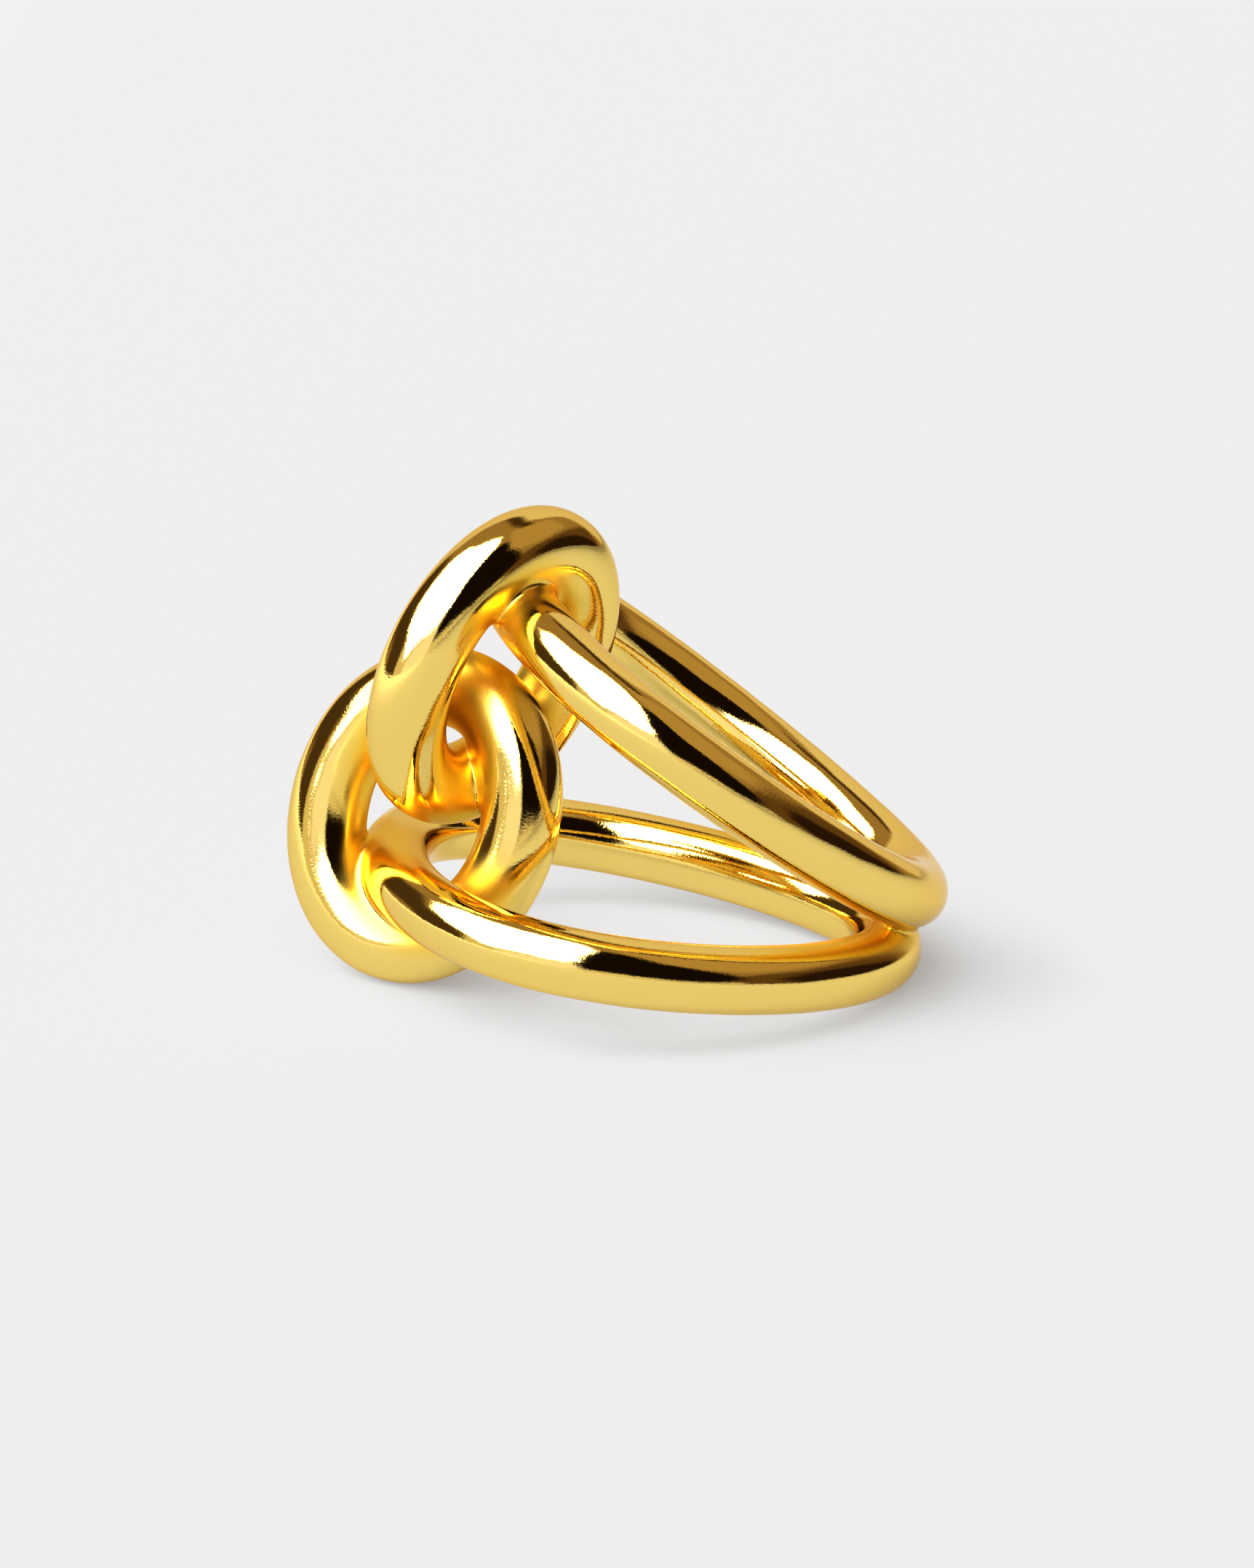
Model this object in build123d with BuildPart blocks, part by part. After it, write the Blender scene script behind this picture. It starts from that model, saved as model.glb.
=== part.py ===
from build123d import *
import os
from math import cos, dist, hypot, pi, radians, sin

# Link ring: two finger hoops of round wire that meet at the back, and two
# interlocked oval links that hold their fronts together. The metal is one
# casting, and it lies on its side as it comes to rest on a flat surface.
#
# Ring axes, used by the lines of the wire: the origin is where the hoops
# meet at the back, X runs from the knot to the back and Z along the finger.
# The upper half is the lower half turned half a turn about X.
# Lengths are in millimetres and angles in degrees.

# Hoops
hoop_wire = 3.0       # thickness of the wire
hoop_length = 21.5    # back to front, between the middles of the wire
hoop_width = 21.0     # side to side, between the middles of the wire
hoop_blunt = 0.105    # how much blunter the front is than the back, 0 for an oval
back_lap = 0.27       # how deep the hoops run into each other at the back

# Links
link_wire = 3.45      # thickness of the wire
link_length = 11.35   # end to end, between the middles of the wire
link_width = 8.95     # side to side, between the middles of the wire
link_turn = 37.2      # plane of a link from the front-back line, about the finger axis
link_lean = 4.7       # long axis of a link from the finger axis, in its own plane
seat_lap = 0.4        # how deep a hoop runs into the end of its link
seat_turn = 1.0       # where a link sits on its hoop, round from the hoop's front
seat_side = 0.24      # middle of a link from its hoop, across the link
link_lap = 0.16       # how deep the links run into each other where they cross

# Ways that the ring may tip before it rests, and fineness of what is worked out
most_tilt = 45        # front down or back down
most_roll = 20        # to either side
hoop_points = 24      # points that carry the smooth line of a hoop
line_steps = 360      # steps round a line where it is measured
spread_step = 1.0     # first step of the angle between the hoops
angle_error = 0.001


# Lines of the wire of the lower half, in ring axes

def egg(turn):
    """Point of a hoop in its own plane: turn 0 is the back, pi the front."""
    along = hoop_length / 2 * (1 - cos(turn) + hoop_blunt * (1 - cos(2 * turn)))
    return along, hoop_width / 2 * sin(turn)


def oval(turn):
    """Point of a link in its own plane."""
    return link_width / 2 * cos(turn), link_length / 2 * sin(turn)


def hoop_plane(spread):
    """Plane of the lower hoop, with its front spread degrees below the back."""
    forward = Vector(-cos(radians(spread)), 0, -sin(radians(spread)))
    back = Vector(0, 0, -(hoop_wire - back_lap) / 2)
    return Plane(origin=back, x_dir=forward, z_dir=forward.cross(Vector(0, -1, 0)))


def link_plane(spread):
    """Plane of the lower link, seated on its hoop: X goes across it, Y along it."""
    level = Vector(1, 0, 0).rotate(Axis.Z, -link_turn)
    normal = level.cross(Vector(0, 0, 1))
    across = level.rotate(Axis((0, 0, 0), normal), link_lean)
    along = normal.cross(across)
    seat = hoop_plane(spread).from_local_coords(Vector(*egg(pi + radians(seat_turn))))
    rise = (link_length - link_wire - hoop_wire) / 2 + seat_lap
    return Plane(origin=seat + along * rise + across * seat_side, x_dir=across, z_dir=normal)


def measured(plane, outline):
    """Points all round an outline on a plane."""
    turns = [2 * pi * step / line_steps for step in range(line_steps)]
    return [tuple(plane.from_local_coords(Vector(*outline(turn)))) for turn in turns]


def other_half(line):
    return [(x, -y, -z) for x, y, z in line]


# Spread of the hoops: they open until the hooked links bear on each other

def link_gap(spread):
    """Room between the links where they cross, below 0 where they run into each other."""
    lower_link_line = measured(link_plane(spread), oval)
    return 2 * min(hypot(y, z) for x, y, z in lower_link_line) - link_wire


def worked_out_spread():
    spread, step = 0, spread_step
    while step > angle_error:
        if link_gap(spread + step) > -link_lap:
            spread += step
        else:
            step /= 2
    return spread


hoop_spread = worked_out_spread()
hoop_line = measured(hoop_plane(hoop_spread), egg)
link_line = measured(link_plane(hoop_spread), oval)


# Rest: the ring tips until its middle of mass is as low as it can be

def middle_of_mass():
    """Place of the middle of mass on X, where the halves balance each other."""
    mass = moment = 0
    for line, wire in ((hoop_line, hoop_wire), (link_line, link_wire)):
        for here, there in zip(line, line[1:] + line[:1]):
            metal = dist(here, there) * wire**2
            mass += metal
            moment += metal * (here[0] + there[0]) / 2
    return moment / mass


def reach(direction):
    """Furthest that the metal goes in a direction given in ring axes."""
    dx, dy, dz = direction
    furthest = []
    for line, wire in ((hoop_line, hoop_wire), (link_line, link_wire)):
        for half in (line, other_half(line)):
            furthest.append(max(x * dx + y * dy + z * dz for x, y, z in half) + wire / 2)
    return max(furthest)


def tipped(tilt, roll):
    """Ring axes, tilted about the level Y and rolled about their own X."""
    return Plane.XY.rotated((0, tilt, 0)).rotated((roll, 0, 0))


def mass_height(tilt, roll):
    """Height of the middle of mass when the tipped ring touches the surface."""
    down = tipped(tilt, roll).to_local_coords(Vector(0, 0, -1))
    return reach(down) - mass_middle * down.X


def lowest(height, low, high):
    """Angle between two others at which a height is least."""
    while high - low > angle_error:
        third = (high - low) / 3
        if height(low + third) < height(high - third):
            high -= third
        else:
            low += third
    return (low + high) / 2


def settled_roll(tilt):
    return lowest(lambda roll: mass_height(tilt, roll), -most_roll, most_roll)


def resting_axes():
    """Ring axes at rest: lowest metal at height 0, and the whole ring centred over it."""
    tilt = lowest(lambda angle: mass_height(angle, settled_roll(angle)), 0, most_tilt)
    axes = tipped(tilt, settled_roll(tilt))
    ahead, side, up = [axes.to_local_coords(Vector(*way)) for way in ((1, 0, 0), (0, 1, 0), (0, 0, 1))]
    centred_x = (reach(-ahead) - reach(ahead)) / 2
    centred_y = (reach(-side) - reach(side)) / 2
    return Plane(origin=(centred_x, centred_y, reach(-up)), x_dir=axes.x_dir, z_dir=axes.z_dir)


mass_middle = middle_of_mass()
rest = resting_axes()


def lower_at_rest(plane):
    """A plane of the lower half, moved from ring axes to where the ring rests."""
    origin = rest.from_local_coords(plane.origin)
    x_end = rest.from_local_coords(plane.origin + plane.x_dir)
    z_end = rest.from_local_coords(plane.origin + plane.z_dir)
    return Plane(origin=origin, x_dir=x_end - origin, z_dir=z_end - origin)


def upper_at_rest(plane):
    """The same for the upper half."""
    turned = [Vector(v.X, -v.Y, -v.Z) for v in (plane.origin, plane.x_dir, plane.z_dir)]
    return lower_at_rest(Plane(origin=turned[0], x_dir=turned[1], z_dir=turned[2]))


# Loops of wire, whose lines start where nothing touches them

def hoop(plane):
    """Hoop that starts at its side."""
    starts = [pi / 2 + 2 * pi * point / hoop_points for point in range(hoop_points)]
    with BuildPart() as loop:
        with BuildLine(plane) as line:
            Spline(*[egg(turn) for turn in starts], periodic=True)
        path = line.wires()[0]
        with BuildSketch(Plane(origin=path @ 0, x_dir=plane.y_dir, z_dir=path % 0)):
            Circle(hoop_wire / 2)
        sweep()
    return loop.part


def link(plane):
    """Link that starts at the side away from the other link."""
    with BuildPart() as loop:
        with BuildLine(plane) as line:
            EllipticalCenterArc((0, 0), link_width / 2, link_length / 2, 180, arc_size=360)
        path = line.wires()[0]
        with BuildSketch(Plane(origin=path @ 0, x_dir=-plane.x_dir, z_dir=path % 0)):
            Circle(link_wire / 2)
        sweep()
    return loop.part


# The casting: soldered metal is one solid

with BuildPart() as link_ring:
    add(hoop(lower_at_rest(hoop_plane(hoop_spread))))
    add(hoop(upper_at_rest(hoop_plane(hoop_spread))))
    add(link(lower_at_rest(link_plane(hoop_spread))))
    add(link(upper_at_rest(link_plane(hoop_spread))))

link_ring.part.label = "link_ring"

os.makedirs("parts", exist_ok=True)
export_step(link_ring.part, "parts/link_ring.step")

box = link_ring.part.bounding_box()
print(f"hoops open {2 * hoop_spread:.2f} degrees, ring rests at {rest.location.orientation}")
print(f"metal {link_ring.part.volume:.1f} cubic mm, box {box.min} to {box.max}")
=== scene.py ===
"""Link ring: the polished skin of the casting, and a plain pale studio round it."""
import math
import random

import bpy
import numpy as np
from mathutils import Matrix, Vector


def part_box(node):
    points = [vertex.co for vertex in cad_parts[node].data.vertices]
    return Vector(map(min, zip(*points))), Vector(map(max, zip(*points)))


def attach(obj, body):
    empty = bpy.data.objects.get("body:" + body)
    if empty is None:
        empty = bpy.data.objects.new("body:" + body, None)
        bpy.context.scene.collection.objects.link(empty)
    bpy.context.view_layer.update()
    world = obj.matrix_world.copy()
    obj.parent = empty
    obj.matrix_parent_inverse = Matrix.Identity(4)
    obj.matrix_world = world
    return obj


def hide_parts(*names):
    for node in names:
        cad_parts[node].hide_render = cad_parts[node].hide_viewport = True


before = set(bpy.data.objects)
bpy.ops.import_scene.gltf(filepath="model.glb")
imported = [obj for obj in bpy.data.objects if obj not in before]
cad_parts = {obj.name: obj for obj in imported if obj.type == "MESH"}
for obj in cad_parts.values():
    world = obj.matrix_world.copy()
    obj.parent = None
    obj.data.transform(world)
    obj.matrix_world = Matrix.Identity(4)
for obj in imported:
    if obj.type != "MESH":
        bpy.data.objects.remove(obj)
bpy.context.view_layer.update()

# Ring, in metres and degrees, as in its solid
HOOP_WIRE = 0.0030
HOOP_LENGTH = 0.0215
HOOP_WIDTH = 0.0210
HOOP_BLUNT = 0.105
BACK_LAP = 0.00027
LINK_WIRE = 0.00345
LINK_LENGTH = 0.01135
LINK_WIDTH = 0.00895
LINK_TURN = 37.2
LINK_LEAN = 4.7
SEAT_LAP = 0.0004
SEAT_TURN = 1.0
SEAT_SIDE = 0.00024
HOOP_SPREAD = 13.734      # front of each hoop from the level through the back
REST_TILT = 21.796        # about the level Y, as the ring rests
REST_ROLL = -1.534        # about the ring's own X

# Solder where loops of wire meet: how far the metal of each runs over into the other
BACK_SOLDER = 0.00065
LINK_SOLDER = 0.00110
SEAT_SOLDER = 0.00060

# Skin
MESH_STEP = 0.00017       # size of a face
SETTLE_STEPS = 4          # steps that bring the mesh onto the metal's surface
EVEN_ROUNDS = 4           # rounds that even out its faces
LINE_STEPS = 720          # steps round a loop where its reach is measured
COARSE_TURNS = 48         # places on a loop where the search for the nearest one starts
NEAREST_STEPS = 4         # steps of that search
MOST_TURN = 0.15          # furthest that one of its steps goes round the loop, in radians
LEAST_BEND = 0.01         # share of the squared speed, below which the line counts as straight
SKIN_DEPTH = 0.00001      # how far the skin lies inside the metal's surface
WAVE_SEED = 7
WAVE_HEIGHT = 0.000014    # of the hand-polished surface
WAVE_LENGTHS = (0.0014, 0.0045)
WAVES = 14
POLISH_REACHES = (0.0009, 0.0022)   # how far out it is clear where a polishing wheel gets in


def turned(vector, axis, degrees):
    return Matrix.Rotation(math.radians(degrees), 3, axis) @ vector


# Loops of wire

def egg(turn):
    """Point of a hoop in its own plane, and how it moves on: turn 0 is the back, pi the front."""
    cos, sin = np.cos(turn), np.sin(turn)
    cos2, sin2 = np.cos(2 * turn), np.sin(2 * turn)
    half_length, half_width = HOOP_LENGTH / 2, HOOP_WIDTH / 2
    place = np.array([half_length * (1 - cos + HOOP_BLUNT * (1 - cos2)), half_width * sin])
    first = np.array([half_length * (sin + 2 * HOOP_BLUNT * sin2), half_width * cos])
    second = np.array([half_length * (cos + 4 * HOOP_BLUNT * cos2), -half_width * sin])
    return place, first, second


def oval(turn):
    """The same for a link."""
    cos, sin = np.cos(turn), np.sin(turn)
    half_width, half_length = LINK_WIDTH / 2, LINK_LENGTH / 2
    place = np.array([half_width * cos, half_length * sin])
    first = np.array([-half_width * sin, half_length * cos])
    return place, first, -place


def lower_loops():
    """The lower hoop and the lower link: outline, origin, two axes and wire, in ring axes."""
    spread = math.radians(HOOP_SPREAD)
    forward = Vector((-math.cos(spread), 0, -math.sin(spread)))
    side = Vector((0, -1, 0))
    back = Vector((0, 0, -(HOOP_WIRE - BACK_LAP) / 2))
    level = turned(Vector((1, 0, 0)), "Z", -LINK_TURN)
    normal = level.cross(Vector((0, 0, 1)))
    across = turned(level, normal, LINK_LEAN)
    along = normal.cross(across)
    seat_along, seat_side = egg(math.pi + math.radians(SEAT_TURN))[0]
    seat = back + forward * seat_along + side * seat_side
    rise = (LINK_LENGTH - LINK_WIRE - HOOP_WIRE) / 2 + SEAT_LAP
    middle = seat + along * rise + across * SEAT_SIDE
    return [
        {"outline": egg, "origin": back, "across": forward, "along": side, "wire": HOOP_WIRE},
        {"outline": oval, "origin": middle, "across": across, "along": along, "wire": LINK_WIRE},
    ]


def loops_at_rest():
    """The four loops as the ring rests, placed by the box of the solid."""
    rest = Matrix.Rotation(math.radians(REST_TILT), 3, "Y")
    rest = rest @ Matrix.Rotation(math.radians(REST_ROLL), 3, "X")
    half_turn = Matrix.Rotation(math.pi, 3, "X")
    loops = []
    for half in (Matrix.Identity(3), half_turn):
        for loop in lower_loops():
            for name in ("origin", "across", "along"):
                loop[name] = np.array(rest @ half @ loop[name])
            loops.append(loop)
    turns = np.linspace(0, 2 * math.pi, LINE_STEPS + 1)
    lowest, highest = np.full(3, np.inf), np.full(3, -np.inf)
    for loop in loops:
        (u, v), _, _ = loop["outline"](turns)
        line = loop["origin"] + u[:, None] * loop["across"] + v[:, None] * loop["along"]
        lowest = np.minimum(lowest, line.min(0) - loop["wire"] / 2)
        highest = np.maximum(highest, line.max(0) + loop["wire"] / 2)
    box_low, box_high = (np.array(corner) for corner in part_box("link_ring"))
    shift = (box_low + box_high) / 2 - (lowest + highest) / 2
    for loop in loops:
        loop["origin"] = loop["origin"] + shift
    return loops


def wire_field(points, loop):
    """Distance of points from a loop's surface, below 0 inside, and the way straight out."""
    away = points - loop["origin"]
    normal = np.cross(loop["across"], loop["along"])
    u, v, w = away @ loop["across"], away @ loop["along"], away @ normal
    turns = np.arange(COARSE_TURNS) * 2 * math.pi / COARSE_TURNS
    (coarse_u, coarse_v), _, _ = loop["outline"](turns)
    turn = turns[((u[:, None] - coarse_u) ** 2 + (v[:, None] - coarse_v) ** 2).argmin(1)]
    for _ in range(NEAREST_STEPS):
        place, first, second = loop["outline"](turn)
        off_u, off_v = u - place[0], v - place[1]
        slope = off_u * first[0] + off_v * first[1]
        speed = first[0] ** 2 + first[1] ** 2
        bend = off_u * second[0] + off_v * second[1] - speed
        bend = np.where(bend > -speed * LEAST_BEND, -speed, bend)
        turn = turn - np.clip(slope / bend, -MOST_TURN, MOST_TURN)
    place = loop["outline"](turn)[0]
    off_u, off_v = u - place[0], v - place[1]
    far = np.sqrt(off_u ** 2 + off_v ** 2 + w ** 2)
    out = off_u[:, None] * loop["across"] + off_v[:, None] * loop["along"] + w[:, None] * normal
    return far - loop["wire"] / 2, out / far[:, None]


def joined(one, other, solder):
    """Two fields run together with a smooth fillet of solder between them."""
    share = np.clip(0.5 + (other[0] - one[0]) / (2 * solder), 0, 1)
    field = other[0] * (1 - share) + one[0] * share - solder * share * (1 - share)
    way = other[1] * (1 - share)[:, None] + one[1] * share[:, None]
    return field, way


def polish_waves():
    """Long shallow waves that polishing leaves: direction and phase of each."""
    draw = random.Random(WAVE_SEED)
    waves = []
    for _ in range(WAVES):
        way = Vector((draw.gauss(0, 1), draw.gauss(0, 1), draw.gauss(0, 1))).normalized()
        length = draw.uniform(*WAVE_LENGTHS)
        waves.append((np.array(way) * 2 * math.pi / length, draw.uniform(0, 2 * math.pi)))
    return waves


def skin_field(points, loops, waves):
    """Distance of points from the skin of the whole casting, and the way straight out."""
    lower_hoop, lower_link, upper_hoop, upper_link = (wire_field(points, loop) for loop in loops)
    hoops = joined(lower_hoop, upper_hoop, BACK_SOLDER)
    links = joined(lower_link, upper_link, LINK_SOLDER)
    field, way = joined(hoops, links, SEAT_SOLDER)
    field = field + SKIN_DEPTH
    for pitch, phase in waves:
        angle = points @ pitch + phase
        field = field + WAVE_HEIGHT / WAVES * (1 - np.sin(angle))
        way = way - WAVE_HEIGHT / WAVES * np.cos(angle)[:, None] * pitch
    return field, way


def neighbours_middle(points, edges):
    """For each point, the middle of the points that share an edge with it."""
    ends = np.concatenate((edges[:, 0], edges[:, 1]))
    others = np.concatenate((edges[:, 1], edges[:, 0]))
    number = np.bincount(ends, minlength=len(points))
    sums = [np.bincount(ends, points[others, axis], len(points)) for axis in range(3)]
    return np.column_stack([total / number for total in sums])


def rough_mesh():
    """A closed even mesh near the surface of the whole casting."""
    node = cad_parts["link_ring"]
    rough = bpy.data.objects.new("rough_skin", node.data.copy())
    bpy.context.collection.objects.link(rough)
    rough.matrix_world = node.matrix_world
    remesh = rough.modifiers.new("remesh", "REMESH")
    remesh.mode = "VOXEL"
    remesh.voxel_size = MESH_STEP
    bpy.context.view_layer.update()
    evaluated = rough.evaluated_get(bpy.context.evaluated_depsgraph_get())
    mesh = bpy.data.meshes.new_from_object(evaluated)
    mesh.transform(rough.matrix_world)
    bpy.data.objects.remove(rough)
    return mesh


def settled(points, edges, loops, waves):
    """Points of a mesh, moved onto the skin's surface and evened out on it."""
    for round_number in range(EVEN_ROUNDS + 1):
        for _ in range(SETTLE_STEPS if round_number in (0, EVEN_ROUNDS) else 1):
            field, way = skin_field(points, loops, waves)
            points = points - (field / (way ** 2).sum(1))[:, None] * way
        if round_number < EVEN_ROUNDS:
            points = (points + neighbours_middle(points, edges)) / 2
    return points


def make_skin():
    """The mesh laid on the surface of the four soldered loops, with their exact normals."""
    mesh = rough_mesh()
    points = np.empty(len(mesh.vertices) * 3, np.float32)
    mesh.vertices.foreach_get("co", points)
    edges = np.empty(len(mesh.edges) * 2, np.int32)
    mesh.edges.foreach_get("vertices", edges)
    loops, waves = loops_at_rest(), polish_waves()
    points = settled(points.reshape(-1, 3).astype(float), edges.reshape(-1, 2), loops, waves)
    way = skin_field(points, loops, waves)[1]
    way /= np.linalg.norm(way, axis=1)[:, None]
    mesh.vertices.foreach_set("co", points.astype(np.float32).ravel())
    mesh.materials.clear()
    mesh.shade_smooth()
    mesh.update()
    mesh.normals_split_custom_set_from_vertices(way.astype(np.float32).tolist())
    clear = [skin_field(points + way * far, loops, waves)[0] / far for far in POLISH_REACHES]
    reach = mesh.attributes.new("reach", "FLOAT", "POINT")
    reach.data.foreach_set("value", np.clip(np.min(clear, axis=0), 0, 1).astype(np.float32))
    skin = bpy.data.objects.new("ring_skin", mesh)
    bpy.context.collection.objects.link(skin)
    return skin


# Gold

OPEN_GOLD = (0.96, 0.74, 0.24)
# Painted shade: the gold is deeper and redder in the nooks
NOOK_SHADE_GOLD = (0.95, 0.66, 0.09)
EDGE_GOLD = (0.92, 0.80, 0.62)        # seen at a glancing angle
GOLD_REACH = (0.15, 0.95)             # reach at the gold with painted nook shade and at open gold
PATCHES = (-0.08, 0.08)               # how far patches of the surface shift that
NOOK_ROUGHNESS = 0.30                 # what is added where the wheel doesn't reach
ROUGH_REACH = (0.2, 0.9)              # reach over which that fades out
ROUGHNESS = (0.03, 0.065)             # from the brightest to the dullest patches
GRAIN_HEIGHT = 0.000003
PATCH_NOISE = (260, 2.0)              # pitch to a metre, and detail
ROUGHNESS_NOISE = (900, 4.0)
GRAIN_NOISE = (9000, 3.0)
NOISE_RANGE = (0.35, 0.65)            # where most of a noise's values lie


def noise(tree, place, pitch, detail):
    texture = tree.nodes.new("ShaderNodeTexNoise")
    texture.inputs["Scale"].default_value = pitch
    texture.inputs["Detail"].default_value = detail
    tree.links.new(place, texture.inputs["Vector"])
    return texture.outputs["Fac"]


def mapped(tree, value, before, after, kind="SMOOTHSTEP"):
    """A value's range before, brought to the range after."""
    node = tree.nodes.new("ShaderNodeMapRange")
    node.interpolation_type = kind
    for name, number in zip(("From Min", "From Max", "To Min", "To Max"), (*before, *after)):
        node.inputs[name].default_value = number
    tree.links.new(value, node.inputs["Value"])
    return node.outputs["Result"]


def added(tree, one, other):
    node = tree.nodes.new("ShaderNodeMath")
    node.operation = "ADD"
    tree.links.new(one, node.inputs[0])
    tree.links.new(other, node.inputs[1])
    return node.outputs["Value"]


def ramp(tree, value, stops):
    """Colour that goes from stop to stop as a value does."""
    node = tree.nodes.new("ShaderNodeValToRGB")
    elements = node.color_ramp.elements
    while len(elements) < len(stops):
        elements.new(0.5)
    for element, (position, colour) in zip(elements, stops):
        element.position = position
        element.color = (*colour, 1)
    tree.links.new(value, node.inputs["Fac"])
    return node.outputs["Color"]


def gold():
    """Polished gold: duller in nooks and deeper there as painted shade, with faint patches and a
    fine grain.
    """
    material = bpy.data.materials.new("polished_gold")
    material.use_nodes = True
    tree = material.node_tree
    shader = tree.nodes["Principled BSDF"]
    shader.inputs["Metallic"].default_value = 1
    shader.inputs["Specular Tint"].default_value = (*EDGE_GOLD, 1)
    place = tree.nodes.new("ShaderNodeTexCoord").outputs["Object"]
    attribute = tree.nodes.new("ShaderNodeAttribute")
    attribute.attribute_name = "reach"
    reach = attribute.outputs["Fac"]

    patches = mapped(tree, noise(tree, place, *PATCH_NOISE), NOISE_RANGE, PATCHES)
    # Painted shade: the colour turns to the deeper nook gold where the reach is low
    tint = ramp(tree, added(tree, reach, patches), list(zip(GOLD_REACH, (NOOK_SHADE_GOLD, OPEN_GOLD))))
    tree.links.new(tint, shader.inputs["Base Color"])

    nooks = mapped(tree, reach, ROUGH_REACH, (NOOK_ROUGHNESS, 0.0))
    polish = mapped(tree, noise(tree, place, *ROUGHNESS_NOISE), NOISE_RANGE, ROUGHNESS)
    tree.links.new(added(tree, nooks, polish), shader.inputs["Roughness"])

    grain = tree.nodes.new("ShaderNodeBump")
    grain.inputs["Distance"].default_value = GRAIN_HEIGHT
    grain.inputs["Strength"].default_value = 1.0
    tree.links.new(noise(tree, place, *GRAIN_NOISE), grain.inputs["Height"])
    tree.links.new(grain.outputs["Normal"], shader.inputs["Normal"])
    return material


# Studio

DOME = 4.0                # how far the studio's cards stand
DOME_ROWS = 60
DOME_COLUMNS = 240
CARD_SOFTNESS = 2         # how soft the edges of the dim cards are, in rounds of blending
BACKDROP = (0.86, 0.86, 0.86)
FLOOR_SIZE = 12.0

# Table: matt, and mostly its own painted light, so that it stays pale round the ring; its shadow
# and its falloff to one side are painted into that glow
TABLE_GREY = (0.035, 0.0355, 0.0365)
TABLE_ROUGHNESS = 0.9
TABLE_SPECULAR = 0.2
TABLE_GLOW = 1.2
FADE_WAY = (0.974, -0.228, 0)         # the way along which the glow fades, as painted light falling off to one side
FADES = ((-0.16, 1.0),                # how far along it, and the share of the glow there
         (-0.045, 0.671),
         (0.03, 0.671),
         (0.25, 0.27))
PAINTED_LIGHT_WAY = (-0.70, -0.45, 0.55)      # where the painted light on the table comes from; the painted shadow falls away from it
SHADE_REACH = 0.009                   # how far off metal still casts painted shadow on the table
SHADE_SAMPLES = 4
SHADES = ((0.08, (0.26, 0.14, 0.04)),   # how open it is to that light, and the share of the glow: painted shadow, golden close under the ring as painted light bounced off the gold
          (0.38, (0.60, 0.59, 0.58)),
          (0.75, (1, 1, 1)))

# What hangs round the ring: the light of each card, then its corners on a chart of the sky.
# The middle of the chart is overhead, 1 away from it is the horizon, the camera side is at the
# bottom and +X on the right. A later card hangs in front of an earlier one.
ROOM = (0.42, 0.30, 0.16)
CARDS = {
    "back": [
        (0.84, 0.77, 0.68),
        (-0.30, 0.62), (0.05, 0.50), (0.20, 0.24), (0.32, 0.28), (0.45, 0.48), (0.70, 0.56),
        (0.85, 0.75), (0.5, 1.1), (-0.4, 1.1)],
    "overhead": [
        (0.54, 0.40, 0.22),
        (0.12, 0.06), (0.24, -0.32), (0.50, -0.38), (0.64, -0.20), (0.64, 0.16), (0.42, 0.30),
        (0.30, 0.12)],
    "overhead_dark": [
        (0.10, 0.055, 0.02),
        (-0.04, 0.52), (0.10, 0.44), (0.18, 0.24), (0.30, 0.14), (0.22, 0.06), (0.08, 0.20)],
    "right": [
        (0.17, 0.10, 0.04),
        (0.64, 0.50), (0.68, 0.20), (0.70, -0.15), (0.62, -0.45), (0.70, -0.64), (1.0, -0.60),
        (1.1, 0.1), (0.95, 0.50)],
    "right_dark": [
        (0.04, 0.02, 0.01),
        (0.86, 0.42), (1.05, 0.45), (1.05, -0.35), (0.90, -0.36), (0.80, -0.40), (0.76, -0.12)],
    "front_floor": [
        (0.86, 0.80, 0.72),
        (-0.45, -0.82), (-0.28, -0.90), (0.2, -0.92), (0.5, -0.84), (0.72, -0.64), (1.0, -0.60),
        (0.6, -1.0), (0.0, -1.15), (-0.5, -1.05)],
    "left_back": [
        (0.11, 0.07, 0.03),
        (-1.1, -0.1), (-0.88, -0.12), (-0.76, 0.10), (-0.64, 0.34), (-0.40, 0.46), (-0.34, 0.66),
        (-0.42, 0.85), (-0.6, 0.78), (-0.78, 0.52), (-1.05, 0.36)],
    "left": [
        (0.80, 0.73, 0.60),
        (-1.1, -0.1), (-0.80, -0.12), (-0.80, -0.48), (-1.0, -0.60)],
    "left_glow": [
        (1.05, 1.05, 1.2),
        (-0.95, -0.50), (-0.80, -0.46), (-0.70, -0.52), (-0.50, -0.66), (-0.18, -0.72),
        (-0.16, -0.92), (-0.55, -1.0), (-0.9, -0.9)],
    "photographer": [
        (0.015, 0.008, 0.004),
        (-0.18, -0.92), (-0.18, -0.80), (-0.11, -0.68), (-0.06, -0.52), (0.03, -0.36),
        (0.10, -0.20), (0.20, -0.18), (0.30, -0.34), (0.55, -0.42), (0.68, -0.50), (0.68, -0.70),
        (0.50, -0.84), (0.22, -0.92)],
}
SOFTBOXES = {
    "softbox_front": [
        (4.6, 4.6, 4.8),
        (-0.84, -0.30), (-0.82, -0.14), (-0.60, -0.02), (0.05, -0.02), (0.08, -0.20),
        (0.03, -0.36), (-0.06, -0.52), (-0.11, -0.68), (-0.26, -0.76), (-0.42, -0.70),
        (-0.62, -0.56), (-0.80, -0.42)],
    "softbox_back": [
        (4.2, 4.2, 4.2),
        (-0.82, -0.14), (-0.76, 0.10), (-0.62, 0.30), (-0.42, 0.37), (-0.28, 0.30), (-0.22, 0.16),
        (-0.08, 0.06), (0.05, -0.02), (-0.60, -0.02)],
}

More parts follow.
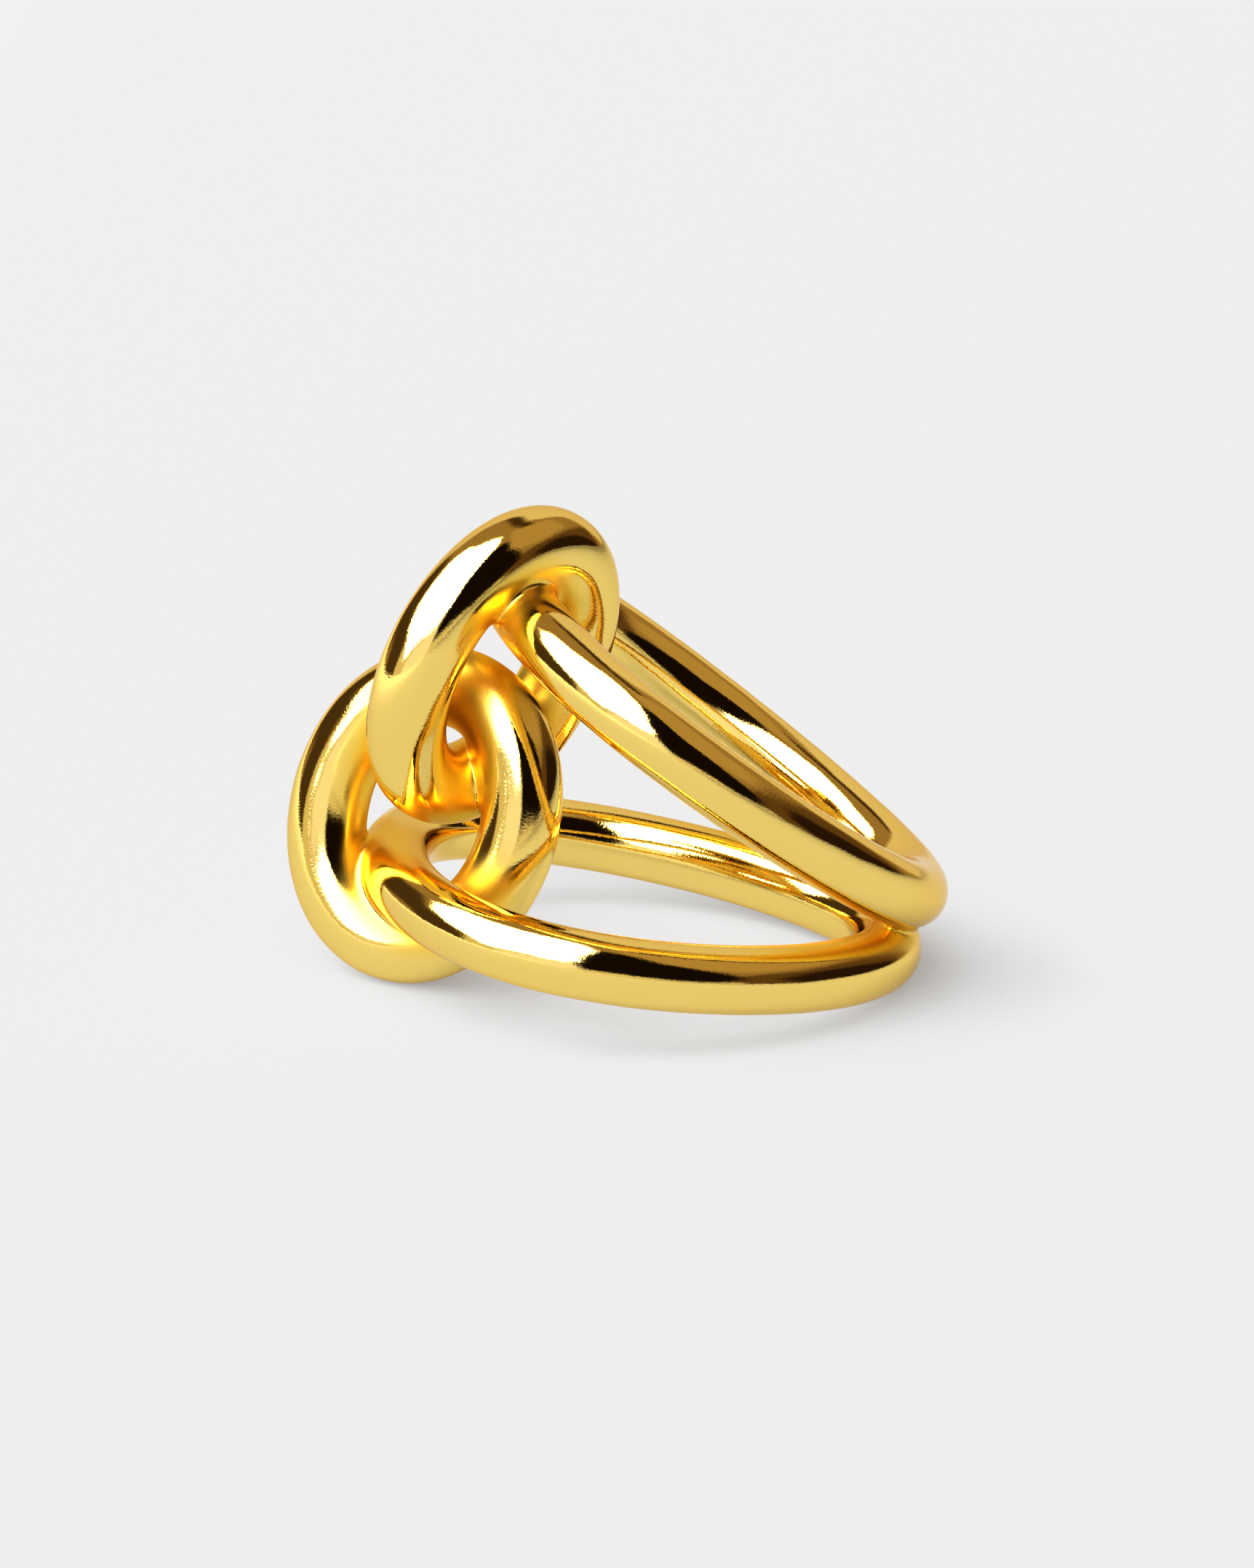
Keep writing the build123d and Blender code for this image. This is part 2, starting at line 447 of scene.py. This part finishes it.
# Camera, as it stood for the photograph
CAMERA_PLACE = (-0.0697, -0.42033, 0.14205)
CAMERA_RIGHT = (0.9877, -0.1503, 0.0433)
CAMERA_FORWARD = (0.1564, 0.9413, -0.299)
CAMERA_LENS = 239.66
CAMERA_SENSOR = 36
CAMERA_RANGE = (0.01, 20) # nearest and furthest that it sees
PICTURE_GAMMA = 0.8       # contrast of the picture


def table():
    """Matt surface that glows, with painted light that is less towards one side and painted
    shadow where metal is near.
    """
    material = bpy.data.materials.new("table")
    material.use_nodes = True
    tree = material.node_tree
    shader = tree.nodes["Principled BSDF"]
    shader.inputs["Base Color"].default_value = (*TABLE_GREY, 1)
    shader.inputs["Roughness"].default_value = TABLE_ROUGHNESS
    shader.inputs["Specular IOR Level"].default_value = TABLE_SPECULAR
    shader.inputs["Emission Strength"].default_value = TABLE_GLOW
    way = tree.nodes.new("ShaderNodeCombineXYZ")
    for name, part in zip("XYZ", PAINTED_LIGHT_WAY):
        way.inputs[name].default_value = part
    # Painted shadow: ambient occlusion, leaning towards the painted light, dims the glow near the
    # metal
    clear = tree.nodes.new("ShaderNodeAmbientOcclusion")
    clear.samples = SHADE_SAMPLES
    clear.inputs["Distance"].default_value = SHADE_REACH
    tree.links.new(way.outputs["Vector"], clear.inputs["Normal"])
    # Painted light: the glow fades along one way across the table
    along = tree.nodes.new("ShaderNodeVectorMath")
    along.operation = "DOT_PRODUCT"
    along.inputs[1].default_value = FADE_WAY
    tree.links.new(tree.nodes.new("ShaderNodeTexCoord").outputs["Object"], along.inputs[0])
    first, last = FADES[0][0], FADES[-1][0]
    fade_stops = [((far - first) / (last - first), (share,) * 3) for far, share in FADES]
    faded = mapped(tree, along.outputs["Value"], (first, last), (0, 1), "LINEAR")
    fading = ramp(tree, faded, fade_stops)
    light = tree.nodes.new("ShaderNodeVectorMath")
    light.operation = "MULTIPLY"
    tree.links.new(ramp(tree, clear.outputs["AO"], SHADES), light.inputs[0])
    tree.links.new(fading, light.inputs[1])
    tree.links.new(light.outputs["Vector"], shader.inputs["Emission Color"])
    material.cycles.emission_sampling = "NONE"
    return material


def card_material(name):
    """Black card that only glows."""
    material = bpy.data.materials.new(name)
    material.use_nodes = True
    shader = material.node_tree.nodes["Principled BSDF"]
    shader.inputs["Base Color"].default_value = (0, 0, 0, 1)
    shader.inputs["Specular IOR Level"].default_value = 0
    return material, shader


def softbox_material(name, light):
    material, shader = card_material(name)
    strength = max(light)
    shader.inputs["Emission Color"].default_value = (*[part / strength for part in light], 1)
    shader.inputs["Emission Strength"].default_value = strength
    return material


def room_material():
    material, shader = card_material("room")
    shader.inputs["Emission Strength"].default_value = 1
    tree = material.node_tree
    light = tree.nodes.new("ShaderNodeAttribute")
    light.attribute_name = "light"
    tree.links.new(light.outputs["Color"], shader.inputs["Emission Color"])
    material.cycles.emission_sampling = "NONE"
    return material


def within(x, y, corners):
    """Whether a place on the chart is on a card."""
    crossings = 0
    for (x1, y1), (x2, y2) in zip(corners, corners[1:] + corners[:1]):
        if (y1 > y) != (y2 > y) and x < x1 + (x2 - x1) * (y - y1) / (y2 - y1):
            crossings += 1
    return crossings % 2 == 1


def on_chart(row, column):
    """Place on the chart of a row and column of the dome."""
    way = 2 * math.pi * column / DOME_COLUMNS
    return (1 - row / DOME_ROWS) * math.sin(way), -(1 - row / DOME_ROWS) * math.cos(way)


def on_dome(row, column):
    """The same place in the room."""
    height = math.pi / 2 * row / DOME_ROWS
    way = 2 * math.pi * column / DOME_COLUMNS
    level = DOME * math.cos(height)
    return level * math.sin(way), -level * math.cos(way), DOME * math.sin(height)


def room_light():
    """Light of the dim cards at each point of the dome, soft from card to card."""
    light = np.empty((DOME_ROWS + 1, DOME_COLUMNS, 3))
    for row in range(DOME_ROWS + 1):
        for column in range(DOME_COLUMNS):
            place = on_chart(row, column)
            hung = [colour for colour, *corners in CARDS.values() if within(*place, corners)]
            light[row, column] = hung[-1] if hung else ROOM
    for _ in range(CARD_SOFTNESS):
        light = (np.roll(light, 1, 1) + 2 * light + np.roll(light, -1, 1)) / 4
        framed = np.concatenate((light[:1], light, light[-1:]))
        light = (framed[:-2] + 2 * light + framed[2:]) / 4
    return light


def softbox_at(row, column):
    """Number of the softbox at the middle of a pane, 0 for none."""
    middle = on_chart(row + 0.5, column + 0.5)
    for number, (_, *corners) in enumerate(SOFTBOXES.values(), 1):
        if within(*middle, corners):
            return number
    return 0


def studio_dome():
    """Half a ball of small panes round the ring, lit card by card."""
    places = [(row, column) for row in range(DOME_ROWS + 1) for column in range(DOME_COLUMNS)]
    points = [on_dome(row, column) for row, column in places]
    faces, lit_by = [], []
    for row in range(DOME_ROWS):
        low, high = row * DOME_COLUMNS, (row + 1) * DOME_COLUMNS
        for column in range(DOME_COLUMNS):
            after = (column + 1) % DOME_COLUMNS
            faces.append((low + column, high + column, high + after, low + after))
            lit_by.append(softbox_at(row, column))
    mesh = bpy.data.meshes.new("studio_dome")
    mesh.from_pydata(points, [], faces)
    colours = np.ones((len(points), 4), np.float32)
    colours[:, :3] = room_light().reshape(-1, 3)
    light = mesh.attributes.new("light", "FLOAT_COLOR", "POINT")
    light.data.foreach_set("color", colours.ravel())
    mesh.materials.append(room_material())
    for name, (glow, *_) in SOFTBOXES.items():
        mesh.materials.append(softbox_material(name, glow))
    mesh.polygons.foreach_set("material_index", lit_by)
    dome = bpy.data.objects.new("studio_dome", mesh)
    bpy.context.collection.objects.link(dome)
    dome.visible_camera = False
    return dome


def floor():
    half = FLOOR_SIZE / 2
    square = [(-half, -half, 0), (half, -half, 0), (half, half, 0), (-half, half, 0)]
    mesh = bpy.data.meshes.new("floor")
    mesh.from_pydata(square, [], [(0, 1, 2, 3)])
    mesh.materials.append(table())
    obj = bpy.data.objects.new("floor", mesh)
    bpy.context.collection.objects.link(obj)
    return obj


def studio():
    floor()
    studio_dome()
    world = bpy.data.worlds.new("studio")
    world.use_nodes = True
    background = world.node_tree.nodes["Background"]
    background.inputs["Color"].default_value = (*BACKDROP, 1)
    bpy.context.scene.world = world


def camera():
    right = Vector(CAMERA_RIGHT).normalized()
    forward = Vector(CAMERA_FORWARD)
    forward = (forward - right * forward.dot(right)).normalized()
    up = right.cross(forward)
    data = bpy.data.cameras.new("camera")
    data.sensor_width = CAMERA_SENSOR
    data.lens = CAMERA_LENS
    data.clip_start, data.clip_end = CAMERA_RANGE
    obj = bpy.data.objects.new("camera", data)
    bpy.context.collection.objects.link(obj)
    turn = Matrix((right, up, -forward)).transposed()
    obj.matrix_world = Matrix.Translation(CAMERA_PLACE) @ turn.to_4x4()
    bpy.context.scene.camera = obj


skin = make_skin()
skin.data.materials.append(gold())
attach(skin, "root")
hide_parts("link_ring")
studio()
camera()
bpy.context.scene.view_settings.view_transform = "Standard"
bpy.context.scene.view_settings.gamma = PICTURE_GAMMA
bpy.context.scene.cycles.use_denoising = True


def corners(box):
    return [list(corner) for corner in box]
